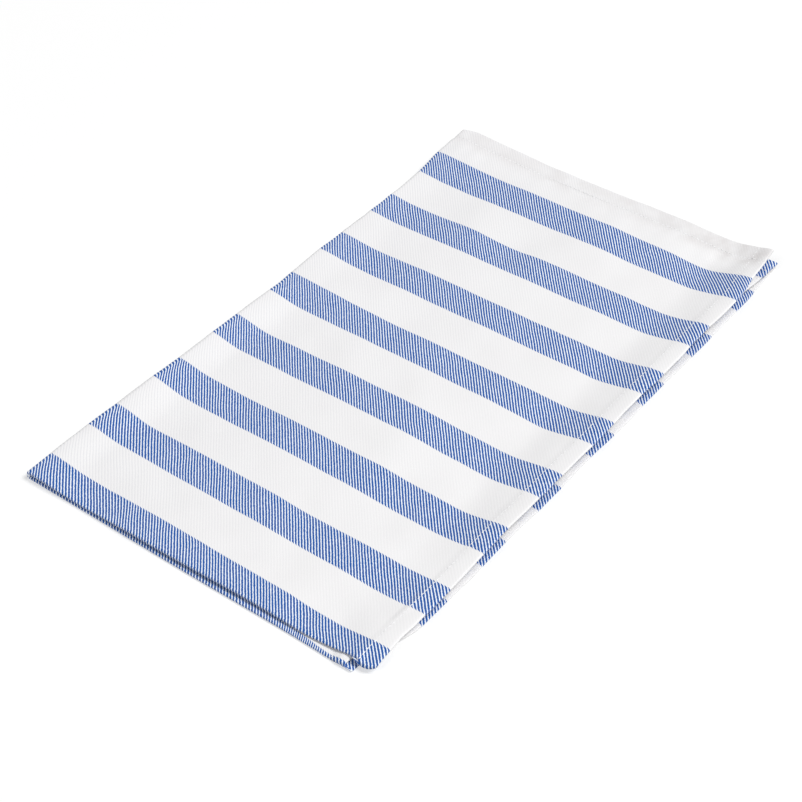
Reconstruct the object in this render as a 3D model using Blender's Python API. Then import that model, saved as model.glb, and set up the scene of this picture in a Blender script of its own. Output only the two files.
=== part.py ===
"""A cotton tea towel folded in quarters and lying flat: one cloth, modelled as one closed solid.

Metres, +Z up. The origin is the middle of the folded towel's footprint, on the surface it lies on.
+X points from the long fold to the side hems, and +Y from the cross fold to the end hems.
The cloth was folded across first, then along, so from the top its four layers lie face up, face
down, face up and face down. The cross fold is two loops, one over the other, and the long fold is
one loop inside another.
"""
from collections import namedtuple
import math

import bmesh
import bpy

MM = 0.001

# The cloth laid out flat: 18 by 30 inches
FLAT_WIDTH = 457 * MM
FLAT_LENGTH = 762 * MM
HALF_WIDTH = FLAT_WIDTH / 2
HALF_LENGTH = FLAT_LENGTH / 2

# The sheet and its stack of layers
LAYERS = 4
CLOTH = 1.0 * MM
LAYER_GAP = 0.25 * MM
LAYER_PITCH = CLOTH + LAYER_GAP
STACK = LAYERS * CLOTH + (LAYERS - 1) * LAYER_GAP
LOOP_RADIUS = LAYER_PITCH / 2       # cross fold, to the middle of the cloth
LONG_FOLD_RADIUS = LAYER_PITCH      # long fold, to the middle between its two layers

# Hems: a turned and stitched band that makes each layer thicker
HEM = 10 * MM
HEM_STEP = 3 * MM
HEM_EXTRA = 0.95 * MM

# How far from each edge the stacked hems still hold the cloth up
SIDE_REACH = 34 * MM
END_REACH = 60 * MM

# Grid lines on each layer, in zones that start at the fold: each zone ends at a distance from it
Zone = namedtuple("Zone", "end steps")
ACROSS_ZONES = (
    Zone(end=22 * MM, steps=3),
    Zone(end=178 * MM, steps=4),
    Zone(end=HALF_WIDTH - HEM - HEM_STEP, steps=5),
    Zone(end=HALF_WIDTH - HEM, steps=1),
    Zone(end=HALF_WIDTH, steps=2),
)
ALONG_ZONES = (
    Zone(end=30 * MM, steps=3),
    Zone(end=310 * MM, steps=7),
    Zone(end=HALF_LENGTH - HEM - HEM_STEP, steps=5),
    Zone(end=HALF_LENGTH - HEM, steps=1),
    Zone(end=HALF_LENGTH, steps=2),
)
LONG_FOLD_STEPS = 8
LOOP_STEPS = 6

# The long fold is puffed up near the cross fold and pressed flatter beyond. lift is its rise,
# reach is how far in the rise goes, and out moves the fold line outwards.
LongFold = namedtuple("LongFold", "along lift reach out")
LONG_FOLD = (
    LongFold(along=0 * MM, lift=0.8 * MM, reach=20 * MM, out=5.5 * MM),
    LongFold(along=45 * MM, lift=2.6 * MM, reach=22 * MM, out=4.0 * MM),
    LongFold(along=80 * MM, lift=4.0 * MM, reach=24 * MM, out=1.8 * MM),
    LongFold(along=150 * MM, lift=3.2 * MM, reach=24 * MM, out=0.0 * MM),
    LongFold(along=200 * MM, lift=2.6 * MM, reach=26 * MM, out=-1.0 * MM),
    LongFold(along=245 * MM, lift=0.4 * MM, reach=26 * MM, out=0.6 * MM),
    LongFold(along=310 * MM, lift=0.4 * MM, reach=22 * MM, out=0.0 * MM),
    LongFold(along=381 * MM, lift=1.6 * MM, reach=30 * MM, out=1.0 * MM),
)

# The side hems lie flat at the cross fold and stand up in a thick stack further along.
SideHems = namedtuple("SideHems", "along rise")
SIDE_HEMS = (
    SideHems(along=0 * MM, rise=0.2 * MM),
    SideHems(along=22 * MM, rise=2.0 * MM),
    SideHems(along=65 * MM, rise=2.4 * MM),
    SideHems(along=105 * MM, rise=5.0 * MM),
    SideHems(along=160 * MM, rise=5.8 * MM),
    SideHems(along=381 * MM, rise=6.4 * MM),
)

# The end hems rise a little at the long fold, and meet the side hems in a thick corner.
EndHems = namedtuple("EndHems", "across rise")
END_HEMS = (
    EndHems(across=0 * MM, rise=3.8 * MM),
    EndHems(across=24 * MM, rise=4.4 * MM),
    EndHems(across=55 * MM, rise=3.0 * MM),
    EndHems(across=115 * MM, rise=2.6 * MM),
    EndHems(across=150 * MM, rise=3.4 * MM),
    EndHems(across=190 * MM, rise=3.0 * MM),
    EndHems(across=228 * MM, rise=2.6 * MM),
)

# How far each layer's edges stand back from the cloth's full size, from the top layer down:
# side is at the side hems, end at the end hems, and corner is added to side where those meet.
LayerEdge = namedtuple("LayerEdge", "side end corner")
LAYER_EDGES = (
    LayerEdge(side=0.0 * MM, end=0.5 * MM, corner=6.0 * MM),
    LayerEdge(side=4.0 * MM, end=2.0 * MM, corner=-3.5 * MM),
    LayerEdge(side=5.0 * MM, end=1.5 * MM, corner=-3.0 * MM),
    LayerEdge(side=1.0 * MM, end=0.0 * MM, corner=2.5 * MM),
)
CORNER_REACH = 45 * MM

# The cross fold: the upper loop draws back towards the side hems, and shows the lower one.
CrossFold = namedtuple("CrossFold", "across upper lower")
CROSS_FOLD = (
    CrossFold(across=0 * MM, upper=0.2 * MM, lower=0.0 * MM),
    CrossFold(across=60 * MM, upper=0.8 * MM, lower=-0.2 * MM),
    CrossFold(across=120 * MM, upper=1.8 * MM, lower=-0.4 * MM),
    CrossFold(across=150 * MM, upper=2.8 * MM, lower=-0.2 * MM),
    CrossFold(across=190 * MM, upper=3.4 * MM, lower=-0.2 * MM),
    CrossFold(across=215 * MM, upper=4.8 * MM, lower=-0.6 * MM),
    CrossFold(across=228 * MM, upper=5.0 * MM, lower=-0.6 * MM),
)
CROSS_FOLD_REACH = 60 * MM

# The lower loop's corner at the side hems is drawn in.
LOOP_DRAWN_IN = 9 * MM
LOOP_REACH = 46 * MM

# The middle of the footprint, from the nominal folds
MIDDLE_ACROSS = (HALF_WIDTH - max(row.out for row in LONG_FOLD)) / 2
MIDDLE_ALONG = (HALF_LENGTH + min(row.lower for row in CROSS_FOLD)) / 2

# Soft bumps of the top layer
Bump = namedtuple("Bump", "across along lift wide long")
BUMPS = (
    Bump(across=125 * MM, along=135 * MM, lift=1.4 * MM, wide=45 * MM, long=70 * MM),
    Bump(across=24 * MM, along=209 * MM, lift=1.0 * MM, wide=22 * MM, long=18 * MM),
    Bump(across=140 * MM, along=325 * MM, lift=0.7 * MM, wide=50 * MM, long=40 * MM),
)

CLOTH_COLOUR = (0.86, 0.87, 0.88, 1.0)
CLOTH_ROUGHNESS = 0.9


def smooth(part):
    """0 to 1 with level ends, for a part of the way from 0 to 1."""
    part = min(max(part, 0.0), 1.0)
    return part * part * (3 - 2 * part)


def read(table, place, column):
    """A column of a table whose first column is the place, smooth between the rows."""
    for before, after in zip(table, table[1:]):
        if place <= after[0]:
            part = smooth((place - before[0]) / (after[0] - before[0]))
            return getattr(before, column) * (1 - part) + getattr(after, column) * part
    return getattr(table[-1], column)


def gaps_below(height):
    """How many of the gaps between layers are below a height in the even stack."""
    layer = min(int(height / LAYER_PITCH), LAYERS - 1)
    into_gap = (height - layer * LAYER_PITCH - CLOTH) / LAYER_GAP
    return layer + min(max(into_gap, 0.0), 1.0)


def layer_edge(height, column):
    """How far the edges stand back at a height in the even stack."""
    from_top = (STACK - CLOTH / 2 - height) / LAYER_PITCH
    from_top = min(max(from_top, 0.0), LAYERS - 1.0)
    upper = min(int(from_top), LAYERS - 2)
    part = from_top - upper
    above, below = LAYER_EDGES[upper], LAYER_EDGES[upper + 1]
    return getattr(above, column) * (1 - part) + getattr(below, column) * part


def slide(across, along, height):
    """Moves a point of the even stack in its own plane, because no two edges lie in line."""
    lower_half = smooth((STACK / 2 - height) / LAYER_GAP + 0.5)
    to_cross_fold = smooth(1 - along / CROSS_FOLD_REACH)
    to_side = smooth((across - HALF_WIDTH + 2 * SIDE_REACH) / (2 * SIDE_REACH))
    to_end = smooth((along - HALF_LENGTH + 2 * END_REACH) / (2 * END_REACH))
    upper = read(CROSS_FOLD, across, "upper")
    lower = read(CROSS_FOLD, across, "lower")
    set_back = layer_edge(height, "side")
    set_back += layer_edge(height, "corner") * smooth(1 - (HALF_LENGTH - along) / CORNER_REACH)
    set_back += LOOP_DRAWN_IN * lower_half * smooth(1 - along / LOOP_REACH)
    new_across = across - to_side * set_back
    new_across -= read(LONG_FOLD, along, "out") * smooth(1 - across / CROSS_FOLD_REACH)
    new_along = along - to_end * layer_edge(height, "end")
    new_along += to_cross_fold * (upper * (1 - lower_half) + lower * lower_half)
    return new_across, new_along


def hem_part(distance):
    """1 in a hem, 0 inside it, by the distance from the cloth's edge."""
    return smooth((HEM + HEM_STEP - distance) / HEM_STEP)


def raise_point(across, along, height):
    """The height of a point of the even stack once the folds puff up and the hems stand up."""
    fold = read(LONG_FOLD, along, "lift") * smooth(1 - across / read(LONG_FOLD, along, "reach"))
    side_part = smooth((across - HALF_WIDTH + SIDE_REACH) / SIDE_REACH)
    end_part = smooth((along - HALF_LENGTH + END_REACH) / END_REACH)
    side_rise = read(SIDE_HEMS, along, "rise") * side_part
    end_rise = read(END_HEMS, across, "rise") * end_part
    bumps = 0.0
    for bump in BUMPS:
        off = math.hypot((across - bump.across) / bump.wide, (along - bump.along) / bump.long)
        bumps += bump.lift * smooth(1 - off)
    rise = side_rise + end_rise + bumps
    hems = hem_part(HALF_WIDTH - across) + hem_part(HALF_LENGTH - along)
    thicker = min(LAYERS * HEM_EXTRA * hems, rise)
    between_layers = smooth((height - CLOTH) / (STACK - 2 * CLOTH))
    return (
        height
        + fold * between_layers
        + thicker * height / STACK
        + (rise - thicker) * gaps_below(height) / (LAYERS - 1)
    )


def grid_lines(start, zones):
    """The places of the grid lines from the cloth's edge back to the fold, without the fold's own."""
    lines = []
    for zone in zones:
        lines += [start + (zone.end - start) * (step + 1) / zone.steps for step in range(zone.steps)]
        start = zone.end
    return lines[::-1]


def double_layer():
    """The two layers at the cross fold as (along, offset, side) pairs: outer face, then inner face.

    The list runs from the upper layer's end hem, around the fold, to the lower layer's end hem.
    """
    outer = LOOP_RADIUS + CLOTH / 2
    inner = LOOP_RADIUS - CLOTH / 2
    upper = grid_lines(outer, ALONG_ZONES)
    pairs = [((along, outer), (along, inner)) for along in upper]
    for step in range(LOOP_STEPS + 1):
        turn = math.pi * step / LOOP_STEPS
        back, lift = -math.sin(turn), math.cos(turn)
        pairs.append(((outer + outer * back, outer * lift), (outer + inner * back, inner * lift)))
    pairs += [((along, -outer), (along, -inner)) for along in reversed(upper)]
    return pairs


def stations():
    """The path of the double layer as (across, height, normal across, normal up).

    It runs from the upper side hem, around the long fold, to the lower side hem.
    """
    middle = STACK / 2
    start = LONG_FOLD_RADIUS + LOOP_RADIUS + CLOTH / 2
    run = grid_lines(start, ACROSS_ZONES)
    path = [(across, middle + LONG_FOLD_RADIUS, 0.0, 1.0) for across in run]
    for step in range(LONG_FOLD_STEPS + 1):
        turn = math.pi * step / LONG_FOLD_STEPS
        normal_across, normal_up = -math.sin(turn), math.cos(turn)
        path.append(
            (
                start + LONG_FOLD_RADIUS * normal_across,
                middle + LONG_FOLD_RADIUS * normal_up,
                normal_across,
                normal_up,
            )
        )
    path += [(across, middle - LONG_FOLD_RADIUS, 0.0, -1.0) for across in reversed(run)]
    return path


def settled(station, face_point):
    """A point of the double layer at a station of its path, in the part's own axes."""
    across, height, normal_across, normal_up = station
    along, offset = face_point
    across += normal_across * offset
    height += normal_up * offset
    across, along = slide(across, along, height)
    height = raise_point(across, along, height)
    return (across - MIDDLE_ACROSS, along - MIDDLE_ALONG, height)


def build_cloth(name):
    """The folded sheet as one closed mesh: an outer and an inner face, joined around the four edges."""
    bm = bmesh.new()
    grid = []
    for station in stations():
        row = []
        for outer_point, inner_point in double_layer():
            outer = bm.verts.new(settled(station, outer_point))
            inner = bm.verts.new(settled(station, inner_point))
            row.append((outer, inner))
        grid.append(row)
    for row, next_row in zip(grid, grid[1:]):
        for place in range(len(row) - 1):
            corners = (row[place], row[place + 1], next_row[place + 1], next_row[place])
            bm.faces.new([outer for outer, inner in corners])
            bm.faces.new([inner for outer, inner in reversed(corners)])
        for place in (0, -1):
            bm.faces.new((row[place][0], row[place][1], next_row[place][1], next_row[place][0]))
    for row in (grid[0], grid[-1]):
        for pair, next_pair in zip(row, row[1:]):
            bm.faces.new((pair[0], next_pair[0], next_pair[1], pair[1]))
    bmesh.ops.recalc_face_normals(bm, faces=bm.faces)
    mesh = bpy.data.meshes.new(name)
    bm.to_mesh(mesh)
    bm.free()
    mesh.shade_smooth()
    mesh.set_sharp_from_angle(angle=math.radians(50))
    cloth = bpy.data.objects.new(name, mesh)
    bpy.context.collection.objects.link(cloth)
    return cloth


def cotton(name):
    """Matt white cotton."""
    material = bpy.data.materials.new(name)
    material.use_nodes = True
    shader = material.node_tree.nodes["Principled BSDF"]
    shader.inputs["Base Color"].default_value = CLOTH_COLOUR
    shader.inputs["Roughness"].default_value = CLOTH_ROUGHNESS
    shader.inputs["Metallic"].default_value = 0.0
    return material


def main():
    for thing in list(bpy.data.objects):
        bpy.data.objects.remove(thing, do_unlink=True)
    cloth = build_cloth("towel_cloth")
    cloth.data.materials.append(cotton("cotton_cloth"))


main()
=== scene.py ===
"""Finishes a striped cotton tea towel that is folded in quarters and lies flat.

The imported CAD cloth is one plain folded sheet. This file stands a finer one in its place, with the
soft unevenness, the turned hems and the twill weave of the real cloth, and sews its hems with thread.
Metres, +Z up, in the part's own axes: +X points from the long fold to the side hems, and +Y from the
cross fold to the end hems.
"""
from collections import namedtuple
import math

import bmesh
import bpy
from bpy.props import FloatProperty, FloatVectorProperty, IntProperty, PointerProperty
import mathutils
import numpy as np
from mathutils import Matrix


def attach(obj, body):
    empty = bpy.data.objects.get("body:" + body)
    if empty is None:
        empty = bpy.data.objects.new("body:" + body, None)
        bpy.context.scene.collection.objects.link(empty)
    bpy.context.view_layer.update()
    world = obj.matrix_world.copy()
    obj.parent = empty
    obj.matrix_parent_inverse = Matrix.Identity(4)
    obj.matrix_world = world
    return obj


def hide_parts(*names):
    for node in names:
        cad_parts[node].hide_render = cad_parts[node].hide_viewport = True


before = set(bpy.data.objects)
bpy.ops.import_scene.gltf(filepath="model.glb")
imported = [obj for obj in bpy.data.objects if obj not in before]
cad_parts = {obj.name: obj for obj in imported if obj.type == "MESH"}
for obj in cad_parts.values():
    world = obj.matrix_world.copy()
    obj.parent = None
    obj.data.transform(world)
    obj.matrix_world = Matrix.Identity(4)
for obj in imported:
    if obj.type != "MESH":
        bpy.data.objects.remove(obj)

bl_info = {
    "name": "Folded tea towel",
    "version": (1, 0, 0),
    "blender": (4, 5, 0),
    "location": "3D View > Sidebar > Tea towel",
    "description": "Builds a striped cotton tea towel, folded in quarters, with sewn hems",
    "category": "Add Mesh",
}

CAD_NODE = "towel_cloth"
BODY = "root"
CLOTH_PIECE = "striped_cloth"
STITCH_PIECE = "hem_stitches"
FLAT_MAP = "flat_cloth"
SEAM_WAY = "seam_way"
SEAM_OUT = "seam_out"
MM = 0.001

# The even stack that the folds start from: four layers with the same gap between each two
LAYERS = 4
CLOTH = 0.8 * MM
GAP = 0.45 * MM
PITCH = CLOTH + GAP
STACK = LAYERS * CLOTH + (LAYERS - 1) * GAP
MIDDLE = STACK / 2
LOOP_RADIUS = PITCH / 2         # cross fold, to the middle of the cloth
FOLD_RADIUS = PITCH             # long fold, to the middle between its two layers
LOOP_START = LOOP_RADIUS + CLOTH / 2
FOLD_START = FOLD_RADIUS + LOOP_RADIUS + CLOTH / 2
LOOP_ARC = LOOP_RADIUS * math.pi / 2    # cloth in half of the cross fold
FOLD_ARC = FOLD_RADIUS * math.pi / 2    # cloth in half of the long fold

# The tables below are in millimetres.

# Grid lines, in zones counted from a fold: each zone ends at a distance from it, and its last lines
# round the cloth's edge off.
Zone = namedtuple("Zone", "end steps")
ACROSS_ZONES = (
    Zone(end=28, steps=14),
    Zone(end=192, steps=38),
    Zone(end=214, steps=9),
    Zone(end=218.5, steps=4),
    Zone(end=227.5, steps=8),
    Zone(end=228.5, steps=4),
)
ALONG_ZONES = (
    Zone(end=9, steps=6),
    Zone(end=60, steps=17),
    Zone(end=345, steps=60),
    Zone(end=366, steps=8),
    Zone(end=371, steps=4),
    Zone(end=380, steps=8),
    Zone(end=381, steps=4),
)
LOOP_STEPS = 12
FOLD_STEPS = 18

# The long fold is puffed up near the cross fold and pressed flatter beyond. lift is its rise, reach
# is how far in the rise goes, and out moves the fold line outwards.
LongFold = namedtuple("LongFold", "along lift reach out")
LONG_FOLD = (
    LongFold(along=0, lift=0.8, reach=20, out=5.5),
    LongFold(along=45, lift=2.6, reach=22, out=4.0),
    LongFold(along=80, lift=4.2, reach=24, out=1.8),
    LongFold(along=150, lift=3.4, reach=24, out=0.0),
    LongFold(along=200, lift=2.8, reach=26, out=-1.0),
    LongFold(along=245, lift=0.8, reach=26, out=0.6),
    LongFold(along=310, lift=0.8, reach=22, out=0.0),
    LongFold(along=381, lift=1.6, reach=30, out=1.0),
)

# How high the top layer lies away from the folds and hems
TOP = 4.55

# How high the top layer's side hem stands
SideHem = namedtuple("SideHem", "along top")
SIDE_HEM = (
    SideHem(along=0, top=5.1),
    SideHem(along=20, top=6.6),
    SideHem(along=65, top=7.0),
    SideHem(along=105, top=9.4),
    SideHem(along=160, top=9.3),
    SideHem(along=300, top=10.3),
    SideHem(along=381, top=11.0),
)
SIDE_REACH = 34

# How high the top layer's end hem stands
EndHem = namedtuple("EndHem", "across top")
END_HEM = (
    EndHem(across=0, top=8.6),
    EndHem(across=24, top=8.8),
    EndHem(across=55, top=7.4),
    EndHem(across=115, top=7.1),
    EndHem(across=150, top=7.8),
    EndHem(across=190, top=7.4),
    EndHem(across=228.5, top=7.2),
)
END_REACH = 62
END_LEVEL = 14      # the end hem's own level strip
END_TILT = 0.9      # how much that strip still rises to the edge
TILT_LOWERED = 0.4  # the share of that rise by which the whole end part lies lower
SIDE_TROUGH = 0.35  # the cloth lies lower just inside a hem than on it
END_TROUGH = 0.60
TROUGH_STEP = 5
TROUGH_REACH = 24
TROUGH_WAVES = 0.4  # how unevenly deep the troughs are

# Small gathers that the stitches draw along the hems
PUCKER = 0.13
PUCKER_REACH = 7
SIDE_PUCKER_PITCH = 13
END_PUCKER_PITCH = 16
PUCKER_SWAY = 3     # how far the gathers run ahead or stay behind, in radians
PUCKER_DRIFT = 31   # how slowly that changes along the hem

HEM_STEP = 3.5      # how wide the step down from a hem to the plain cloth is
PINCH = 0.03        # how far the stitches press the cloth together
PINCH_REACH = 0.9
LEAST_GAP = 0.08    # between two layers, on average

# How far each layer's edges stand back from the cloth's full size, from the top layer down: side is
# at the side hems, end at the end hems, and corner is added to side where those meet. An edge with a
# value below zero stands out.
LayerEdge = namedtuple("LayerEdge", "side end corner")
LAYER_EDGES = (
    LayerEdge(side=-0.3, end=0.5, corner=4.3),
    LayerEdge(side=3.5, end=2.5, corner=2.4),
    LayerEdge(side=3.9, end=1.0, corner=-3.3),
    LayerEdge(side=-0.5, end=0.0, corner=2.5),
)
SIDE_PULL = 68
END_PULL = 120
CORNER_REACH = 45
CORNER_ROUND = 2.4          # how far the end hems draw back where they meet the long fold
CORNER_ROUND_REACH = 12

# The cross fold: the upper loop draws back towards the side hems, and shows the lower one.
# turn moves the lower loop's stripe round its crest.
CrossFold = namedtuple("CrossFold", "across upper lower turn")
CROSS_FOLD = (
    CrossFold(across=0, upper=0.2, lower=0.0, turn=1.6),
    CrossFold(across=60, upper=0.8, lower=-0.2, turn=1.6),
    CrossFold(across=120, upper=1.8, lower=-0.4, turn=1.6),
    CrossFold(across=150, upper=2.8, lower=-0.2, turn=1.6),
    CrossFold(across=190, upper=3.4, lower=-0.2, turn=0.6),
    CrossFold(across=212, upper=4.8, lower=-0.5, turn=-0.4),
    CrossFold(across=217.5, upper=4.8, lower=-0.6, turn=-0.4),
    CrossFold(across=221, upper=3.6, lower=-0.6, turn=-0.4),
    CrossFold(across=225.5, upper=4.2, lower=-0.6, turn=-0.4),
    CrossFold(across=228.5, upper=6.6, lower=-0.6, turn=-0.4),
)
FOLD_PULL = 60
TURN_REACH = 30     # how far from the cross fold the turned stripe shows

# How far the lowest layer's stripes have moved along its side hem, away from the cross fold
SideDrift = namedtuple("SideDrift", "along drift")
SIDE_DRIFT = (
    SideDrift(along=0, drift=0.0),
    SideDrift(along=50, drift=-3.2),
    SideDrift(along=100, drift=-1.8),
    SideDrift(along=150, drift=-1.8),
    SideDrift(along=220, drift=0.0),
    SideDrift(along=295, drift=2.0),
    SideDrift(along=345, drift=2.0),
    SideDrift(along=381, drift=0.0),
)

# The lower loop's corner at the side hems is drawn in, and the upper one hangs down over it.
LOOP_DRAWN_IN = 10
LOOP_REACH = 46
TIP_DRAWN_IN = -0.3     # the upper loop's corner flares out a little
TIP_REACH = 14
DROOP_START = 217.5
DROOP_WIDE = 4.5
DROOP_LONG = 16
DROOP_SHARE = 0.72

# How the free height is shared among the three gaps, from the bottom one up, within the towel and
# at the cross fold, where the gap between the two loops is the widest
GapShare = namedtuple("GapShare", "within at_fold")
GAP_SHARES = (
    GapShare(within=0.28, at_fold=0.10),
    GapShare(within=0.28, at_fold=0.64),
    GapShare(within=0.44, at_fold=0.26),
)
GAP_REACH = 24

# Soft swells and troughs of the top layer. wide and long are the distances at which each one fades
# out, and turn is in degrees from the along axis towards the across axis.
Crease = namedtuple("Crease", "across along lift wide long turn")
CREASES = (
    Crease(across=38, along=12, lift=-1.5, wide=40, long=30, turn=0),
    Crease(across=188, along=14, lift=-1.8, wide=32, long=30, turn=0),
    Crease(across=30, along=72, lift=-0.9, wide=22, long=36, turn=0),
    Crease(across=30, along=172, lift=-1.1, wide=22, long=34, turn=0),
    Crease(across=22, along=209, lift=1.6, wide=30, long=17, turn=0),
    Crease(across=24, along=296, lift=-1.6, wide=36, long=66, turn=0),
    Crease(across=112, along=134, lift=1.5, wide=64, long=84, turn=0),
    Crease(across=146, along=130, lift=0.9, wide=22, long=46, turn=-8),
    Crease(across=98, along=78, lift=0.9, wide=30, long=28, turn=0),
    Crease(across=130, along=64, lift=-0.8, wide=18, long=20, turn=0),
    Crease(across=154, along=126, lift=0.7, wide=36, long=60, turn=0),
    Crease(across=200, along=206, lift=-0.6, wide=24, long=44, turn=0),
    Crease(across=191, along=165, lift=-0.8, wide=24, long=44, turn=0),
    Crease(across=85, along=214, lift=-0.6, wide=46, long=30, turn=20),
    Crease(across=45, along=246, lift=-0.8, wide=40, long=26, turn=0),
    Crease(across=88, along=302, lift=-0.9, wide=28, long=26, turn=0),
    Crease(across=130, along=330, lift=1.1, wide=50, long=30, turn=60),
    Crease(across=192, along=352, lift=-1.6, wide=26, long=24, turn=0),
    Crease(across=90, along=348, lift=0.7, wide=60, long=24, turn=0),
    Crease(across=214, along=368, lift=-2.0, wide=26, long=17, turn=0),
)

# Small unevenness that nobody would place by hand: how high it is and how far apart its hills are
Ripple = namedtuple("Ripple", "height spacing")
RIPPLES = (
    Ripple(height=0.26, spacing=48),
    Ripple(height=0.10, spacing=21),
)
EDGE_RIPPLES = (
    Ripple(height=0.30, spacing=55),
    Ripple(height=0.12, spacing=17),
)
RIPPLE_WAVES = 9        # waves in each ripple, one to each direction
RIPPLE_SEED = 11
EDGE_SEED = 40
EDGE_SHIFT = 37         # how far the ripples of one layer's edges lie from those of the next
FOLD_WAVER = 0.8        # the long fold wavers less than the hems
FOLD_ROUNDING = 0.35    # how much rounder the long fold is where it is puffed up

LAST_STRIPE = 8         # stripes from the middle to the end that has white on its hem

# Shades that the yarn and thread vary to. The groove colour is painted shade, and the mottled white also
# serves as painted shade on the end hems.
DULL_BLUE = (0.10, 0.20, 0.48, 1.0)
PAINTED_GROOVE_SHADE = (0.56, 0.565, 0.60, 1.0)
MOTTLED_AND_SHADED_WHITE = (0.62, 0.60, 0.60, 1.0)
THREAD_SHADE = (0.72, 0.73, 0.75, 1.0)
PURE_WHITE = (1.0, 1.0, 1.0, 1.0)

# The twill's slope in flat cloth, as across and along parts of a line at right angles to its ribs
TWILL_ACROSS = 0.749
TWILL_ALONG = 0.663
HEM_SKEW = 0.12             # how much of their slant the ribs lose in the side hems
BEAD_PITCH = 0.95 * MM      # along a rib, from one float of yarn to the next

# How far the yarns stray from their straight way, and how the stripes' edges follow them
YARN_DRIFT = 1.2 * MM
YARN_TREMBLE = 0.5 * MM
EDGE_TREMBLE = 0.35 * MM
EDGE_STEPS = 0.22 * MM
EDGE_SOFT = 0.12 * MM

SIDE_SEAM_IN = 0.6 * MM     # how far within the hem the side seams lie
SEAM_MARGIN = 1.6 * MM      # from a seam's first stitch to the cloth's edge
SLOPE_STEP = 0.3 * MM       # how far to each side of a stitch the cloth's slope is taken
STITCH_FLAT = 0.24          # height of a pressed stitch, in threads
STITCH_RISE = 0.01          # how far a stitch's middle lies over the cloth, in threads
STITCH_UNEVENNESS = 0.10

Light = namedtuple("Light", "name place wide share")
LIGHTS = (
    Light(name="main_softbox", place=(4.30, 2.60, 7.00), wide=4.0, share=1.0),
    Light(name="front_fill", place=(-1.00, -5.00, 5.50), wide=3.6, share=0.24),
)

CAMERA_PLACE = (0.53030, -0.63392, 0.73705)
CAMERA_AIM = (0.01131, -0.03054, 0.0050)
CAMERA_ROLL = math.radians(-3.44)
CAMERA_LENS = 89.12
SENSOR = 36.0


class ClothSettings(bpy.types.PropertyGroup):
    """Sizes and colours of the cloth."""

    flat_width: FloatProperty(
        name="Flat width", description="Width of the cloth laid out flat, hems turned",
        default=457 * MM, unit="LENGTH")
    flat_length: FloatProperty(
        name="Flat length", description="Length of the cloth laid out flat, hems turned",
        default=762 * MM, unit="LENGTH")
    thickness: FloatProperty(
        name="Cloth", description="Thickness of the cloth", default=0.75 * MM, unit="LENGTH", precision=5)
    hem_width: FloatProperty(
        name="Hem", description="Width of the turned hem", default=10 * MM, unit="LENGTH", precision=4)
    hem_extra: FloatProperty(
        name="Hem turnings", description="What the turnings add to the cloth's thickness",
        default=0.85 * MM, unit="LENGTH", precision=5)
    stripe_pitch: FloatProperty(
        name="Stripe pitch", description="From one stripe to the next", default=47.78 * MM,
        unit="LENGTH", precision=5)
    stripe_width: FloatProperty(
        name="Stripe width", description="Width of one stripe", default=20.65 * MM,
        unit="LENGTH", precision=5)
    stripe_start: FloatProperty(
        name="First stripe", description="Where the first stripe starts, from the middle of the cloth",
        default=-3.04 * MM, unit="LENGTH", precision=5)
    rib_pitch: FloatProperty(
        name="Twill rib", description="From one rib of the twill to the next, across the ribs",
        default=1.512 * MM, unit="LENGTH", precision=5)
    white: FloatVectorProperty(
        name="White", description="Colour of the undyed yarn", subtype="COLOR", size=4,
        default=(0.74, 0.735, 0.74, 1.0), min=0, max=1)
    stripe_dark: FloatVectorProperty(
        name="Stripe rib", description="Colour of a stripe where its dyed yarn lies on top",
        subtype="COLOR", size=4, default=(0.002, 0.068, 0.30, 1.0), min=0, max=1)
    stripe_light: FloatVectorProperty(
        name="Stripe groove", description="Colour of a stripe between its ribs",
        subtype="COLOR", size=4, default=(0.79, 0.83, 0.87, 1.0), min=0, max=1)


class StitchSettings(bpy.types.PropertyGroup):
    """Sizes and colour of the hem stitches."""

    length: FloatProperty(
        name="Stitch", description="Length of one stitch", default=2.75 * MM, unit="LENGTH", precision=5)
    pitch: FloatProperty(
        name="Stitch pitch", description="From one stitch to the next", default=3.1 * MM,
        unit="LENGTH", precision=5)
    thread: FloatProperty(
        name="Thread", description="Thickness of the thread", default=0.54 * MM, unit="LENGTH", precision=5)
    seed: IntProperty(name="Seed", description="Draws the unevenness of the stitches", default=7)
    colour: FloatVectorProperty(
        name="Thread colour", description="Colour of the thread", subtype="COLOR", size=4,
        default=(0.81, 0.81, 0.82, 1.0), min=0, max=1)


class StageSettings(bpy.types.PropertyGroup):
    """The floor and the studio light."""

    floor_size: FloatProperty(
        name="Floor", description="Side of the square floor", default=8.0, unit="LENGTH")
    floor_colour: FloatVectorProperty(
        name="Floor colour", description="Colour of the floor", subtype="COLOR", size=4,
        default=(0.42, 0.42, 0.42, 1.0), min=0, max=1)
    floor_glow: FloatProperty(
        name="Floor glow", description="Light that comes through the floor, as on a light table",
        default=0.50)
    sky: FloatProperty(
        name="Sky", description="Strength of the even light from all round", default=0.18)
    lamp_power: FloatProperty(
        name="Lamp", description="Power of the strongest softbox", default=795.0, unit="POWER")


# ---- The folded shape ----

def smooth(part):
    """0 to 1 with level ends, for a part of the way from 0 to 1."""
    part = np.clip(part, 0.0, 1.0)
    return part * part * (3 - 2 * part)


def fade(distance, reach):
    """1 at no distance, and 0 at the reach in millimetres and beyond."""
    return smooth(1 - distance / (reach * MM))


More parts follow.
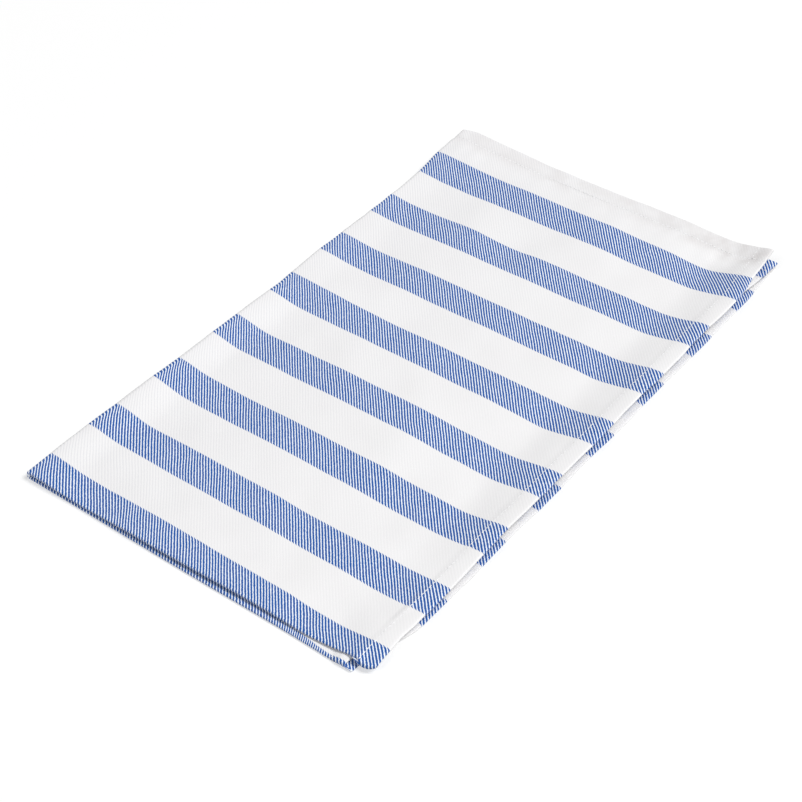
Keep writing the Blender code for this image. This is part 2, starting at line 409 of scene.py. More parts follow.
def read(table, place, column):
    """A column of a table at places in metres, as a smooth curve through its rows, in metres."""
    rows = np.array([row[0] for row in table]) * MM
    values = np.array([getattr(row, column) for row in table]) * MM
    slopes = np.gradient(values, rows)
    place = np.clip(place, rows[0], rows[-1])
    row = np.clip(np.searchsorted(rows, place) - 1, 0, len(rows) - 2)
    width = rows[row + 1] - rows[row]
    part = (place - rows[row]) / width
    return (
        values[row] * (1 + 2 * part) * (1 - part) ** 2
        + slopes[row] * width * part * (1 - part) ** 2
        + values[row + 1] * part ** 2 * (3 - 2 * part)
        - slopes[row + 1] * width * part ** 2 * (1 - part)
    )


def ripple(across, along, kinds, seed):
    """A smooth uneven height, the same each run, from waves in many directions."""
    height = np.zeros_like(across)
    for kind_number, kind in enumerate(kinds):
        draws = np.random.default_rng(seed + kind_number)
        for wave in range(RIPPLE_WAVES):
            turn = math.pi * (wave + draws.uniform()) / RIPPLE_WAVES
            reach = kind.spacing * MM * draws.uniform(0.75, 1.35)
            start = draws.uniform(0, 2 * math.pi)
            way = across * math.cos(turn) + along * math.sin(turn)
            share = kind.height * MM / math.sqrt(RIPPLE_WAVES)
            height += share * np.sin(2 * math.pi * way / reach + start)
    return height


def layer_number(height):
    """The layer at a height in the even stack, from 0 for the top one. It passes on within a gap."""
    from_top = STACK - height
    whole = np.clip(np.floor(from_top / PITCH), 0, LAYERS - 1)
    into_gap = np.clip((from_top - whole * PITCH - CLOTH) / GAP, 0, 1)
    return np.minimum(whole + into_gap, LAYERS - 1)


def in_lower_half(height):
    """0 in the upper two layers of the even stack and 1 in the lower two."""
    return smooth((MIDDLE - height) / GAP + 0.5)


def layer_edge(height, column):
    """How far the edges stand back at a height in the even stack."""
    values = [getattr(row, column) * MM for row in LAYER_EDGES]
    return np.interp(layer_number(height), range(LAYERS), values)


class FoldedCloth:
    """Finds where any point of the flat cloth lies once it is folded."""

    def __init__(self, settings):
        self.half_width = settings.flat_width / 2
        self.half_length = settings.flat_length / 2
        self.thickness = settings.thickness
        self.hem_width = settings.hem_width
        self.hem_extra = settings.hem_extra
        self.middle_across = (self.half_width - max(row.out for row in LONG_FOLD) * MM) / 2
        self.middle_along = (self.half_length + min(row.lower for row in CROSS_FOLD) * MM) / 2

    def even_place(self, flat_across, flat_along, offset):
        """Where a point lies in the even stack. offset is its height over the middle of the cloth."""
        straight = (self.half_length - LOOP_START) / (self.half_length - LOOP_ARC)
        turn = np.clip(1 - flat_along / LOOP_ARC, 0, 2) * math.pi / 2
        along = LOOP_START - (LOOP_RADIUS + offset) * np.sin(turn)
        along += np.maximum(np.abs(flat_along) - LOOP_ARC, 0) * straight
        lift = (LOOP_RADIUS + offset) * np.cos(turn)
        straight = (self.half_width - FOLD_START) / (self.half_width - FOLD_ARC)
        turn = np.clip(1 - flat_across / FOLD_ARC, 0, 2) * math.pi / 2
        across = FOLD_START - (FOLD_RADIUS + lift) * np.sin(turn)
        across += np.maximum(np.abs(flat_across) - FOLD_ARC, 0) * straight
        height = MIDDLE + (FOLD_RADIUS + lift) * np.cos(turn)
        return across, along, height

    def to_side(self, across):
        """How much a place takes part in what pulls at the side hems."""
        return fade(self.half_width - across, SIDE_PULL)

    def side_set_back(self, along, side, corner, low):
        """How far back a side edge stands. low is 0 in the upper two layers and 1 in the lower two."""
        set_back = side + corner * fade(self.half_length - along, CORNER_REACH)
        set_back = set_back + LOOP_DRAWN_IN * MM * low * fade(along, LOOP_REACH)
        return set_back + TIP_DRAWN_IN * MM * (1 - low) * fade(along, TIP_REACH)

    def slide(self, across, along, height):
        """Moves a point of the even stack in its own plane, because no two edges lie in line."""
        side, corner = layer_edge(height, "side"), layer_edge(height, "corner")
        set_back = self.side_set_back(along, side, corner, in_lower_half(height))
        way = along + EDGE_SHIFT * MM * layer_number(height)
        waver = ripple(way, across * 0, EDGE_RIPPLES, EDGE_SEED)
        new_across = across - self.to_side(across) * (set_back + waver)
        out = read(LONG_FOLD, along, "out") + FOLD_WAVER * waver
        new_across -= out * fade(across, FOLD_PULL)
        depth = across / FOLD_START
        new_across += FOLD_ROUNDING * read(LONG_FOLD, along, "lift") * depth * np.exp(1 - depth)
        from_end = self.half_length - along
        new_along = along - fade(from_end, END_PULL) * layer_edge(height, "end")
        at_corner = fade(across, CORNER_ROUND_REACH) * fade(from_end, CORNER_ROUND_REACH)
        new_along -= CORNER_ROUND * MM * at_corner
        new_along += self.crest_shift(across, along, height)
        return new_across, new_along

    def crest_shift(self, across, along, height):
        """How far the cross fold is drawn back, which fades out along the cloth."""
        low = in_lower_half(height)
        upper = read(CROSS_FOLD, across, "upper")
        lower = read(CROSS_FOLD, across, "lower")
        return fade(along, FOLD_PULL) * (upper * (1 - low) + lower * low)

    def hem_part(self, distance):
        """1 in a hem, 0 inside it, by the distance from the cloth's edge."""
        return fade(distance - self.hem_width, HEM_STEP)

    def layer_thickness(self, across, along, layer):
        """How thick a layer lies at a place, hems and all. Layers are counted from the top."""
        edge = LAYER_EDGES[layer]
        low = int(layer >= LAYERS / 2)
        set_back = self.side_set_back(along, edge.side * MM, edge.corner * MM, low)
        from_side = self.half_width - across - self.to_side(across) * set_back
        from_end = self.half_length - along - edge.end * MM
        thickness = self.thickness
        for distance in (from_side, from_end):
            pinch = np.exp(-((distance - self.hem_width) / (PINCH_REACH * MM)) ** 2)
            thickness = thickness + self.hem_extra * self.hem_part(distance) - PINCH * MM * pinch
        return thickness

    def top_height(self, across, along):
        """How high the top layer's face lies at a place."""
        body = TOP * MM
        fold = read(LONG_FOLD, along, "lift") * smooth(1 - across / read(LONG_FOLD, along, "reach"))
        side_part = fade(self.half_width - across, SIDE_REACH)
        end_part = fade(self.half_length - along - END_LEVEL * MM, END_REACH - END_LEVEL)
        side_top = read(SIDE_HEM, along, "top") - body
        end_top = read(END_HEM, across, "top") - body
        height = body + fold + side_top * side_part + end_top * end_part
        strip = np.clip((along - self.half_length) / (END_LEVEL * MM) + 1, 0, 1)
        rise = strip ** 2 * (1.5 - 0.5 * strip)
        height = height + END_TILT * MM * (rise - TILT_LOWERED * end_part)
        for crease in CREASES:
            turn = math.radians(crease.turn)
            off_across = across - crease.across * MM
            off_along = along - crease.along * MM
            wide = off_across * math.cos(turn) - off_along * math.sin(turn)
            long = off_across * math.sin(turn) + off_along * math.cos(turn)
            off = np.hypot(wide / (crease.wide * MM), long / (crease.long * MM))
            height = height + crease.lift * MM * smooth(1 - off)
        height = height + ripple(across, along, RIPPLES, RIPPLE_SEED)
        return height + self.hem_pucker(across, along)

    def hem_pucker(self, across, along):
        """Small gathers that the stitches draw along the hems, and the soft trough inside each hem."""
        pucker = 0.0
        for distance, way, spacing, trough in (
            (self.half_width - across, along, SIDE_PUCKER_PITCH, SIDE_TROUGH),
            (self.half_length - along, across, END_PUCKER_PITCH, END_TROUGH),
        ):
            sway = PUCKER_SWAY * np.sin(way / (PUCKER_DRIFT * MM))
            waves = np.sin(2 * math.pi * way / (spacing * MM) + sway)
            inside = distance - self.hem_width
            pucker = pucker + PUCKER * MM * waves * np.exp(-(inside / (PUCKER_REACH * MM)) ** 2)
            depth = smooth(inside / (TROUGH_STEP * MM) + 0.5) * fade(inside, TROUGH_REACH)
            pucker = pucker - trough * MM * depth * (1 + TROUGH_WAVES * waves)
        return pucker

    def settle(self, flat_across, flat_along, offset):
        """Where a point of the flat cloth lies in the part's own axes."""
        across, along, height = self.even_place(flat_across, flat_along, offset)
        across, along = self.slide(across, along, height)
        layers = [self.layer_thickness(across, along, layer) for layer in range(LAYERS)][::-1]
        spare = self.top_height(across, along) - sum(layers)
        least = len(GAP_SHARES) * LEAST_GAP * MM
        spare = np.maximum(spare, least)
        droop = smooth((across / MM - DROOP_START) / DROOP_WIDE) * fade(along, DROOP_LONG)
        carried = 1 - DROOP_SHARE * droop
        up = 0.0
        for number, thickness in enumerate(layers):
            part = np.clip((height - number * PITCH) / CLOTH, 0, 1)
            up = up + part * thickness * (carried if number < LAYERS / 2 else 1)
        at_fold = fade(along, GAP_REACH)
        for number, row in enumerate(GAP_SHARES):
            part = np.clip((height - number * PITCH - CLOTH) / GAP, 0, 1)
            share = row.within * (1 - at_fold) + row.at_fold * at_fold
            up = up + part * spare * share * carried
        return across - self.middle_across, along - self.middle_along, up

    def edge_taper(self, flat_across, flat_along):
        """How full the cloth is near its edges, which are rounded off."""
        full = 1.0
        for distance in (self.half_width - np.abs(flat_across), self.half_length - np.abs(flat_along)):
            part = np.clip(distance / MM, 0, 1)
            full = full * np.sqrt(np.clip(1 - (1 - part) ** 2, 0.01, 1))
        return full


def flat_lines(half, arc, zones, turn_steps):
    """Grid lines across the flat cloth, from one edge through the fold to the other."""
    lines = []
    start = arc
    for zone in zones:
        parts = np.linspace(0, 1, zone.steps + 1)[1:]
        if zone is zones[-1]:
            parts = np.sin(parts * math.pi / 2)
        end = zone.end * MM
        lines.extend(start + (end - start) * parts)
        start = end
    lines = np.array(lines) * half / start
    turn = np.linspace(-arc, arc, turn_steps + 1)
    return np.concatenate([-lines[::-1], turn, lines])


def turned_in(place, half, hem_width):
    """The place in flat cloth of the turned hem's strip, which shows on the cloth's back."""
    beyond = np.sign(place) * (2 * half - np.abs(place))
    middle = np.abs(place.mean(axis=1, keepdims=True))
    return np.where(middle > half - hem_width, beyond, place)


def cloth_mesh(name, cloth):
    """The folded sheet as one closed mesh: its face, its back and the rounded edges between them."""
    flat_across = flat_lines(cloth.half_width, FOLD_ARC, ACROSS_ZONES, FOLD_STEPS)
    flat_along = flat_lines(cloth.half_length, LOOP_ARC, ALONG_ZONES, LOOP_STEPS)
    flat_across, flat_along = np.meshgrid(flat_across, flat_along, indexing="ij")
    rows, columns = flat_across.shape
    half_cloth = CLOTH / 2 * cloth.edge_taper(flat_across, flat_along)
    face = np.stack(cloth.settle(flat_across, flat_along, half_cloth), axis=-1)
    back = np.stack(cloth.settle(flat_across, flat_along, -half_cloth), axis=-1)
    points = np.concatenate([face.reshape(-1, 3), back.reshape(-1, 3)])

    number = np.arange(rows * columns).reshape(rows, columns)
    corners = (number[:-1, :-1], number[:-1, 1:], number[1:, 1:], number[1:, :-1])
    face_quads = np.stack([corner.ravel() for corner in corners], axis=-1)
    back_quads = face_quads[:, ::-1] + rows * columns
    rim = np.concatenate([number[0, :], number[1:, -1], number[-1, -2::-1], number[-2:0:-1, 0]])
    after = np.roll(rim, -1)
    rim_quads = np.stack([rim, rim + rows * columns, after + rows * columns, after], axis=-1)

    even_across, even_along, height = cloth.even_place(flat_across, flat_along, 0.0)
    near_fold = fade(even_along, TURN_REACH) * in_lower_half(height)
    seen_along = flat_along + cloth.crest_shift(even_across, even_along, height)
    seen_along = seen_along + read(CROSS_FOLD, even_across, "turn") * near_fold
    lowest = cloth.to_side(even_across) * (flat_across < 0) * (flat_along > 0)
    seen_along = seen_along - read(SIDE_DRIFT, even_along, "drift") * lowest
    seen_across = np.concatenate([flat_across.ravel()] * 2)
    seen_along = np.concatenate([seen_along.ravel()] * 2)
    across_map = [seen_across[quads] for quads in (face_quads, back_quads, rim_quads)]
    along_map = [seen_along[quads] for quads in (face_quads, back_quads, rim_quads)]
    across_map[1] = turned_in(across_map[1], cloth.half_width, cloth.hem_width)
    along_map[1] = turned_in(along_map[1], cloth.half_length, cloth.hem_width)
    across_map = np.concatenate([part.ravel() for part in across_map]) + cloth.half_width
    along_map = np.concatenate([part.ravel() for part in along_map]) + cloth.half_length

    mesh = bpy.data.meshes.new(name)
    quads = np.concatenate([face_quads, back_quads, rim_quads])
    mesh.from_pydata(points.tolist(), [], quads.tolist())
    layer = mesh.uv_layers.new(name=FLAT_MAP)
    layer.uv.foreach_set("vector", np.stack([across_map, along_map], axis=-1).ravel())
    mesh.shade_smooth()
    return mesh


def add_object(name, mesh):
    thing = bpy.data.objects.new(name, mesh)
    bpy.context.scene.collection.objects.link(thing)
    return thing


# ---- Materials ----

class NodeKit:
    """Adds nodes to a material's tree. A value is either a number or another node's output."""

    def __init__(self, material):
        material.use_nodes = True
        self.tree = material.node_tree
        self.shader = self.tree.nodes["Principled BSDF"]

    def feed(self, socket, value):
        if isinstance(value, bpy.types.NodeSocket):
            self.tree.links.new(value, socket)
        else:
            socket.default_value = value

    def math(self, operation, first, second=0.0, third=0.0):
        node = self.tree.nodes.new("ShaderNodeMath")
        node.operation = operation
        for socket, value in zip(node.inputs, (first, second, third)):
            self.feed(socket, value)
        return node.outputs[0]

    def ramp(self, value, low, high, low_result=0.0, high_result=1.0):
        """A value's place from low to high, eased at both ends."""
        node = self.tree.nodes.new("ShaderNodeMapRange")
        node.interpolation_type = "SMOOTHSTEP"
        for name, number in (("From Min", low), ("From Max", high)):
            node.inputs[name].default_value = number
        for name, number in (("To Min", low_result), ("To Max", high_result)):
            node.inputs[name].default_value = number
        self.feed(node.inputs["Value"], value)
        return node.outputs["Result"]

    def mix(self, part, first, second, blend="MIX"):
        node = self.tree.nodes.new("ShaderNodeMix")
        node.data_type = "RGBA"
        node.blend_type = blend
        self.feed(node.inputs[0], part)
        self.feed(node.inputs[6], first)
        self.feed(node.inputs[7], second)
        return node.outputs[2]

    def place(self, across, along):
        node = self.tree.nodes.new("ShaderNodeCombineXYZ")
        self.feed(node.inputs["X"], across)
        self.feed(node.inputs["Y"], along)
        return node.outputs[0]

    def noise(self, place, scale, detail=2.0, roughness=0.5):
        node = self.tree.nodes.new("ShaderNodeTexNoise")
        node.inputs["Scale"].default_value = scale
        node.inputs["Detail"].default_value = detail
        node.inputs["Roughness"].default_value = roughness
        self.feed(node.inputs["Vector"], place)
        return node.outputs[0]

    def bump(self, height, distance, strength=1.0):
        node = self.tree.nodes.new("ShaderNodeBump")
        node.inputs["Distance"].default_value = distance
        node.inputs["Strength"].default_value = strength
        self.feed(node.inputs["Height"], height)
        return node.outputs[0]


def striped_twill(settings):
    """White cotton twill with woven blue stripes, drawn in the flat cloth's own place."""
    material = bpy.data.materials.new("striped_cotton_twill")
    kit = NodeKit(material)
    flat = kit.tree.nodes.new("ShaderNodeUVMap")
    flat.uv_map = FLAT_MAP
    split = kit.tree.nodes.new("ShaderNodeSeparateXYZ")
    kit.feed(split.inputs[0], flat.outputs[0])
    across, along = split.outputs[0], split.outputs[1]

    # Yarns lie nearly straight, with a slow drift and a fast tremble.
    drift = kit.math("SUBTRACT", kit.noise(flat.outputs[0], 45.0), 0.5)
    tremble = kit.math("SUBTRACT", kit.noise(flat.outputs[0], 900.0, detail=1.0), 0.5)
    wander = kit.math("MULTIPLY", drift, YARN_DRIFT)
    wander = kit.math("MULTIPLY_ADD", tremble, YARN_TREMBLE, wander)

    # Ribs run aslant, and less so in the side hems; the rib is 1 on its crest and 0 in its groove.
    low_hem = kit.math("MINIMUM", kit.math("SUBTRACT", across, settings.hem_width), 0.0)
    high_hem = kit.math("SUBTRACT", across, settings.flat_width - settings.hem_width)
    in_hem = kit.math("ADD", low_hem, kit.math("MAXIMUM", high_hem, 0.0))
    ribs_across = kit.math("MULTIPLY_ADD", in_hem, -HEM_SKEW, across)
    aslant = kit.math("MULTIPLY", ribs_across, TWILL_ACROSS)
    aslant = kit.math("MULTIPLY_ADD", along, TWILL_ALONG, aslant)
    aslant = kit.math("ADD", aslant, wander)
    turn = kit.math("MULTIPLY", aslant, 2 * math.pi / settings.rib_pitch)
    rib = kit.math("MULTIPLY_ADD", kit.math("COSINE", turn), 0.5, 0.5)

    # Each float of yarn is one bead on a rib.
    level = kit.math("MULTIPLY", along, TWILL_ACROSS)
    level = kit.math("MULTIPLY_ADD", across, -TWILL_ALONG, level)
    bead_turn = kit.math("MULTIPLY", level, 2 * math.pi / BEAD_PITCH)
    bead = kit.math("MULTIPLY_ADD", kit.math("COSINE", bead_turn), 0.5, 0.5)

    # A stripe's edge follows the yarns in small steps.
    edge = kit.math("MULTIPLY_ADD", tremble, EDGE_TREMBLE, along)
    edge = kit.math("MULTIPLY_ADD", kit.math("SINE", turn), EDGE_STEPS, edge)
    start = settings.flat_length / 2 + settings.stripe_start
    stripe_count = kit.math("DIVIDE", kit.math("SUBTRACT", edge, start), settings.stripe_pitch)
    stripe_place = kit.math("FRACT", stripe_count)
    share = settings.stripe_width / settings.stripe_pitch
    soft = EDGE_SOFT / settings.stripe_pitch
    rises = kit.ramp(stripe_place, 0.0, soft)
    falls = kit.ramp(stripe_place, share - soft, share, 1.0, 0.0)
    stripe = kit.math("MULTIPLY", rises, falls)
    stripe = kit.math("MULTIPLY", stripe, kit.math("LESS_THAN", stripe_count, LAST_STRIPE - 0.1))

    # Yarn by yarn the dye and the white vary a little.
    yarn_place = kit.place(kit.math("MULTIPLY", across, 12.0), kit.math("MULTIPLY", along, 1400.0))
    yarn = kit.noise(yarn_place, 1.0, detail=1.0)
    patch = kit.noise(flat.outputs[0], 28.0, detail=3.0)

    crest = kit.ramp(kit.math("MULTIPLY_ADD", bead, 0.16, rib), 0.28, 0.48)
    blue = kit.mix(crest, tuple(settings.stripe_light), tuple(settings.stripe_dark))
    blue = kit.mix(kit.ramp(yarn, 0.25, 0.75, 0.0, 0.12), blue, DULL_BLUE)

    # Painted shade: the white grooves are coloured darker, most near the long fold, and the end hems carry
    # a mottled painted shade, most at the corners.
    half_width, half_length = settings.flat_width / 2, settings.flat_length / 2
    off_across = kit.math("ABSOLUTE", kit.math("SUBTRACT", across, half_width))
    off_along = kit.math("ABSOLUTE", kit.math("SUBTRACT", along, half_length))
    # Painted shade in the white grooves, stronger towards the long fold
    groove = kit.ramp(rib, 0.0, 0.5, 1.0, 0.0)
    groove = kit.math("MULTIPLY", groove, kit.ramp(off_across, 0.0, half_width, 0.46, 0.09))
    white = kit.mix(groove, tuple(settings.white), PAINTED_GROOVE_SHADE)
    white = kit.mix(kit.ramp(patch, 0.35, 0.70, 0.0, 0.10), white, MOTTLED_AND_SHADED_WHITE)
    # Painted shade on the end hems, mottled and strongest towards the side hems
    end_hem = kit.ramp(off_along, half_length - 2 * settings.hem_width, half_length - settings.hem_width)
    end_hem_shade = kit.ramp(kit.noise(flat.outputs[0], 75.0, detail=3.0), 0.35, 0.65, 0.05, 0.40)
    corner_shade = kit.ramp(off_across, 0.56 * half_width, 0.92 * half_width, 1.0, 2.2)
    end_hem_shade = kit.math("MULTIPLY", end_hem_shade, corner_shade)
    white = kit.mix(kit.math("MULTIPLY", end_hem, end_hem_shade), white, MOTTLED_AND_SHADED_WHITE)
    colour = kit.mix(stripe, white, blue)
    kit.feed(kit.shader.inputs["Base Color"], colour)

    rough = kit.ramp(kit.noise(flat.outputs[0], 260.0), 0.3, 0.7, 0.82, 0.94)
    kit.feed(kit.shader.inputs["Roughness"], rough)
    weave = kit.math("MULTIPLY_ADD", bead, 0.35, rib)
    weave = kit.math("MULTIPLY_ADD", kit.noise(flat.outputs[0], 1500.0, detail=1.0), 0.3, weave)
    kit.feed(kit.shader.inputs["Normal"], kit.bump(weave, 0.025 * MM))
    kit.shader.inputs["Sheen Weight"].default_value = 0.12
    kit.shader.inputs["Sheen Roughness"].default_value = 0.6
    kit.shader.inputs["Specular IOR Level"].default_value = 0.25
    return material


def sewing_thread(settings):
    """White cotton sewing thread with its twist."""
    material = bpy.data.materials.new("sewing_thread")
    kit = NodeKit(material)
    where = kit.tree.nodes.new("ShaderNodeTexCoord").outputs["Object"]
    fibre = kit.noise(where, 2600.0, detail=2.0)
    colour = kit.mix(kit.ramp(fibre, 0.3, 0.7, 0.0, 0.20), tuple(settings.colour), THREAD_SHADE)
    kit.feed(kit.shader.inputs["Base Color"], colour)
    kit.feed(kit.shader.inputs["Roughness"], kit.ramp(fibre, 0.3, 0.7, 0.55, 0.75))
    kit.feed(kit.shader.inputs["Normal"], kit.bump(fibre, 0.04 * MM))
    kit.shader.inputs["Sheen Weight"].default_value = 0.1
    return material


def plain_floor(settings):
    """A plain pale studio floor, lit from below as well."""
    material = bpy.data.materials.new("pale_floor")
    kit = NodeKit(material)
    kit.shader.inputs["Base Color"].default_value = tuple(settings.floor_colour)
    kit.shader.inputs["Roughness"].default_value = 1.0
    kit.shader.inputs["Specular IOR Level"].default_value = 0.0
    kit.shader.inputs["Emission Color"].default_value = PURE_WHITE
    kit.shader.inputs["Emission Strength"].default_value = settings.floor_glow
    return material


# ---- Hem stitches ----

def seam_lines(cloth, settings):
    """The stitches' places in flat cloth, as (across, along, step across, step along) for each seam."""
    side_seam = cloth.half_width - cloth.hem_width + SIDE_SEAM_IN
    end_seam = cloth.half_length - cloth.hem_width
    ways = []
    for half in (cloth.half_length, cloth.half_width):
        end = half - SEAM_MARGIN
        ways.append(np.linspace(-end, end, int(2 * end / settings.pitch)))
    along, across = ways
    seams = []
    for sign in (-1, 1):
        seams.append((np.full_like(along, sign * side_seam), along, 0.0, 1.0))
        seams.append((across, np.full_like(across, sign * end_seam), 1.0, 0.0))
    return seams


def stitch_points(name, cloth, settings):
    """A point for each stitch on both sides of the cloth, with its seam's direction and the way out."""
    places, ways, outs = [], [], []
    for across, along, step_across, step_along in seam_lines(cloth, settings):
        for side in (1, -1):
            offset = side * CLOTH / 2

            def at(more_across, more_along):
                return np.stack(cloth.settle(across + more_across, along + more_along, offset), axis=-1)

            over_across = at(SLOPE_STEP, 0.0) - at(-SLOPE_STEP, 0.0)
            over_along = at(0.0, SLOPE_STEP) - at(0.0, -SLOPE_STEP)
            out = np.cross(over_across, over_along) * side
            out /= np.linalg.norm(out, axis=-1, keepdims=True)
            way = over_across * step_across + over_along * step_along
            way /= np.linalg.norm(way, axis=-1, keepdims=True)
            place = at(0.0, 0.0) + out * settings.thread * STITCH_RISE

            # A stitch stays clear of the floor by half its height at its own tilt.
            sideways = np.clip(1 - way[:, 2] ** 2 - out[:, 2] ** 2, 0, 1)
            tall = (settings.length * way[:, 2]) ** 2 + settings.thread ** 2 * sideways
            tall += (settings.thread * STITCH_FLAT * out[:, 2]) ** 2
            floor_clear = (1 + STITCH_UNEVENNESS) / 2 * np.sqrt(tall)
            place[:, 2] = np.maximum(place[:, 2], floor_clear)
            places.append(place)
            ways.append(way)
            outs.append(out)
    mesh = bpy.data.meshes.new(name)
    mesh.from_pydata(np.concatenate(places).tolist(), [], [])
    for attribute_name, values in ((SEAM_WAY, ways), (SEAM_OUT, outs)):
        attribute = mesh.attributes.new(attribute_name, "FLOAT_VECTOR", "POINT")
        attribute.data.foreach_set("vector", np.concatenate(values).ravel())
    return mesh


def stitch_tree(material):
    """Lays one stitch of thread on each point, along its seam."""
    tree = bpy.data.node_groups.new("hem_stitches", "GeometryNodeTree")
    sockets = tree.interface
    sockets.new_socket("Points", in_out="INPUT", socket_type="NodeSocketGeometry")
    for name in ("Length", "Thread", "Thread height", "Unevenness"):
        sockets.new_socket(name, in_out="INPUT", socket_type="NodeSocketFloat")
    sockets.new_socket("Seed", in_out="INPUT", socket_type="NodeSocketInt")
    sockets.new_socket("Stitches", in_out="OUTPUT", socket_type="NodeSocketGeometry")
    link = tree.links.new
    given = tree.nodes.new("NodeGroupInput").outputs
    result = tree.nodes.new("NodeGroupOutput").inputs

    bead = tree.nodes.new("GeometryNodeMeshUVSphere")
    bead.inputs["Segments"].default_value = 6
    bead.inputs["Rings"].default_value = 4
    bead.inputs["Radius"].default_value = 0.5
    size = tree.nodes.new("ShaderNodeCombineXYZ")
    link(given["Length"], size.inputs["X"])
    link(given["Thread"], size.inputs["Y"])
    link(given["Thread height"], size.inputs["Z"])
    stitch = tree.nodes.new("GeometryNodeTransform")
    link(bead.outputs["Mesh"], stitch.inputs["Geometry"])
    link(size.outputs[0], stitch.inputs["Scale"])

    turn = None
    for attribute_name, axis in ((SEAM_OUT, "Z"), (SEAM_WAY, "X")):
        named = tree.nodes.new("GeometryNodeInputNamedAttribute")
        named.data_type = "FLOAT_VECTOR"
        named.inputs["Name"].default_value = attribute_name
        align = tree.nodes.new("FunctionNodeAlignRotationToVector")
        align.axis = axis
        link(named.outputs["Attribute"], align.inputs["Vector"])
        if turn is not None:
            align.pivot_axis = "Z"
            link(turn, align.inputs["Rotation"])
        turn = align.outputs[0]

    draw = tree.nodes.new("FunctionNodeRandomValue")
    draw.data_type = "FLOAT"
    least, most = draw.inputs[2], draw.inputs[3]
    for operation, bound in (("SUBTRACT", least), ("ADD", most)):
        size_bound = tree.nodes.new("ShaderNodeMath")
        size_bound.operation = operation
        size_bound.inputs[0].default_value = 1.0
        link(given["Unevenness"], size_bound.inputs[1])
        link(size_bound.outputs[0], bound)
    link(given["Seed"], draw.inputs["Seed"])

    lay = tree.nodes.new("GeometryNodeInstanceOnPoints")
    link(given["Points"], lay.inputs["Points"])
    link(stitch.outputs["Geometry"], lay.inputs["Instance"])
    link(turn, lay.inputs["Rotation"])
    link(draw.outputs[1], lay.inputs["Scale"])
    real = tree.nodes.new("GeometryNodeRealizeInstances")
    link(lay.outputs["Instances"], real.inputs["Geometry"])
    round_off = tree.nodes.new("GeometryNodeSetShadeSmooth")
    link(real.outputs["Geometry"], round_off.inputs["Geometry"])
    finish = tree.nodes.new("GeometryNodeSetMaterial")
    finish.inputs["Material"].default_value = material
    link(round_off.outputs["Geometry"], finish.inputs["Geometry"])
    link(finish.outputs["Geometry"], result["Stitches"])
    return tree


def applied(thing, tree, values):
    """Runs a node tree on an object with the given inputs, and leaves the result as its plain mesh."""
    modifier = thing.modifiers.new(tree.name, "NODES")
    modifier.node_group = tree
    for item in tree.interface.items_tree:
        if item.item_type == "SOCKET" and item.name in values:
            modifier[item.identifier] = values[item.name]
    bpy.context.view_layer.update()
    made = thing.evaluated_get(bpy.context.evaluated_depsgraph_get())
    mesh = bpy.data.meshes.new_from_object(made)
    thing.modifiers.clear()
    points = thing.data
    thing.data = mesh
    bpy.data.meshes.remove(points)


# ---- Operators ----

class MakeCloth(bpy.types.Operator):
    """Builds the folded cloth with its stripes, twill and turned hems"""

    bl_idname = "tea_towel.make_cloth"
    bl_label = "Make cloth"

    def execute(self, context):
        settings = context.scene.tea_towel_cloth
        if CAD_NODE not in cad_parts:
            raise RuntimeError("the packed model has no node for the cloth")
        piece = add_object(CLOTH_PIECE, cloth_mesh(CLOTH_PIECE, FoldedCloth(settings)))
        piece.data.materials.append(striped_twill(settings))
        bm = bmesh.new()
        bm.from_mesh(piece.data)
        bmesh.ops.recalc_face_normals(bm, faces=bm.faces)
        bm.to_mesh(piece.data)
        bm.free()
        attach(piece, BODY)
        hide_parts(CAD_NODE)
        return {"FINISHED"}


class MakeStitches(bpy.types.Operator):
    """Sews the four hems with running stitches on both sides of the cloth"""

    bl_idname = "tea_towel.make_stitches"
    bl_label = "Make stitches"

    def execute(self, context):
        settings = context.scene.tea_towel_stitches
        cloth_settings = context.scene.tea_towel_cloth
        cloth_piece = bpy.data.objects.get(CLOTH_PIECE)
        if cloth_piece is None:
            raise RuntimeError("make the cloth first")
        points = stitch_points(STITCH_PIECE, FoldedCloth(cloth_settings), settings)
        piece = add_object(STITCH_PIECE, points)
        tree = stitch_tree(sewing_thread(settings))
        values = {
            "Length": settings.length,
            "Thread": settings.thread,
            "Thread height": settings.thread * STITCH_FLAT,
            "Unevenness": STITCH_UNEVENNESS,
            "Seed": settings.seed,
        }
        applied(piece, tree, values)
        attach(piece, BODY)
        return {"FINISHED"}


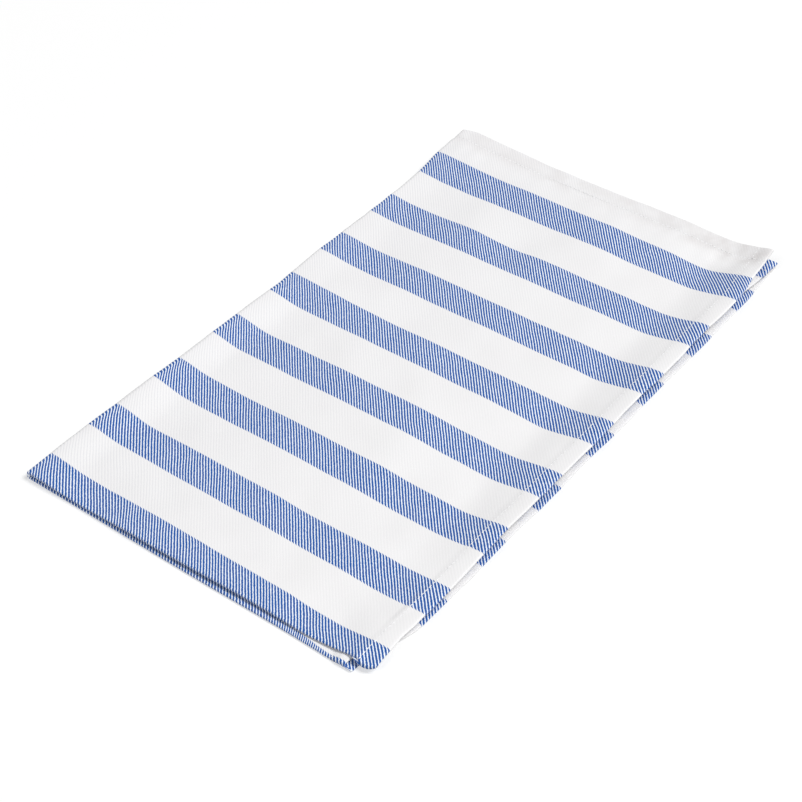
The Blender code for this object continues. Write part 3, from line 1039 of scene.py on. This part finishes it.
class MakeStage(bpy.types.Operator):
    """Lays the pale floor and sets the studio light and the camera"""

    bl_idname = "tea_towel.make_stage"
    bl_label = "Make stage"

    def execute(self, context):
        settings = context.scene.tea_towel_stage
        half = settings.floor_size / 2
        mesh = bpy.data.meshes.new("floor")
        corners = [(-half, -half, 0), (half, -half, 0), (half, half, 0), (-half, half, 0)]
        mesh.from_pydata(corners, [], [(0, 1, 2, 3)])
        mesh.materials.append(plain_floor(settings))
        add_object("floor", mesh)

        world = bpy.data.worlds.new("studio")
        world.use_nodes = True
        background = world.node_tree.nodes["Background"].inputs
        background["Color"].default_value = PURE_WHITE
        background["Strength"].default_value = settings.sky
        context.scene.world = world

        for light in LIGHTS:
            lamp = bpy.data.lights.new(light.name, "AREA")
            lamp.shape = "RECTANGLE"
            lamp.size, lamp.size_y = light.wide, light.wide
            lamp.energy = settings.lamp_power * light.share
            thing = add_object(light.name, lamp)
            thing.location = light.place
            aim = mathutils.Vector(CAMERA_AIM) - thing.location
            thing.rotation_euler = aim.to_track_quat("-Z", "Y").to_euler()

        camera = bpy.data.cameras.new("photo_camera")
        camera.sensor_width = SENSOR
        camera.lens = CAMERA_LENS
        camera.clip_start, camera.clip_end = 0.01, 50.0
        thing = add_object("photo_camera", camera)
        place, aim = mathutils.Vector(CAMERA_PLACE), mathutils.Vector(CAMERA_AIM)
        look = (aim - place).normalized()
        right = look.cross(mathutils.Vector((0, 0, 1))).normalized()
        up = right.cross(look)
        rolled_right = right * math.cos(CAMERA_ROLL) + up * math.sin(CAMERA_ROLL)
        rolled_up = up * math.cos(CAMERA_ROLL) - right * math.sin(CAMERA_ROLL)
        turn = mathutils.Matrix((rolled_right, rolled_up, -look)).transposed()
        thing.matrix_world = mathutils.Matrix.Translation(place) @ turn.to_4x4()
        context.scene.camera = thing
        context.scene.view_settings.view_transform = "Standard"
        return {"FINISHED"}


class TeaTowelPanel(bpy.types.Panel):
    """The tea towel's settings and its three steps"""

    bl_idname = "VIEW3D_PT_tea_towel"
    bl_label = "Tea towel"
    bl_space_type = "VIEW_3D"
    bl_region_type = "UI"
    bl_category = "Tea towel"

    def draw(self, context):
        for title, group, operator in (
            ("Cloth", context.scene.tea_towel_cloth, MakeCloth),
            ("Hem stitches", context.scene.tea_towel_stitches, MakeStitches),
            ("Stage", context.scene.tea_towel_stage, MakeStage),
        ):
            box = self.layout.box()
            box.label(text=title)
            for name in group.__annotations__:
                box.prop(group, name)
            box.operator(operator.bl_idname)


CLASSES = (
    ClothSettings, StitchSettings, StageSettings, MakeCloth, MakeStitches, MakeStage, TeaTowelPanel,
)


def register():
    for kind in CLASSES:
        bpy.utils.register_class(kind)
    bpy.types.Scene.tea_towel_cloth = PointerProperty(type=ClothSettings)
    bpy.types.Scene.tea_towel_stitches = PointerProperty(type=StitchSettings)
    bpy.types.Scene.tea_towel_stage = PointerProperty(type=StageSettings)


def unregister():
    del bpy.types.Scene.tea_towel_stage
    del bpy.types.Scene.tea_towel_stitches
    del bpy.types.Scene.tea_towel_cloth
    for kind in reversed(CLASSES):
        bpy.utils.unregister_class(kind)


def main():
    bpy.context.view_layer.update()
    register()
    bpy.ops.tea_towel.make_cloth()
    bpy.ops.tea_towel.make_stitches()
    bpy.ops.tea_towel.make_stage()


if __name__ == "__main__":
    main()
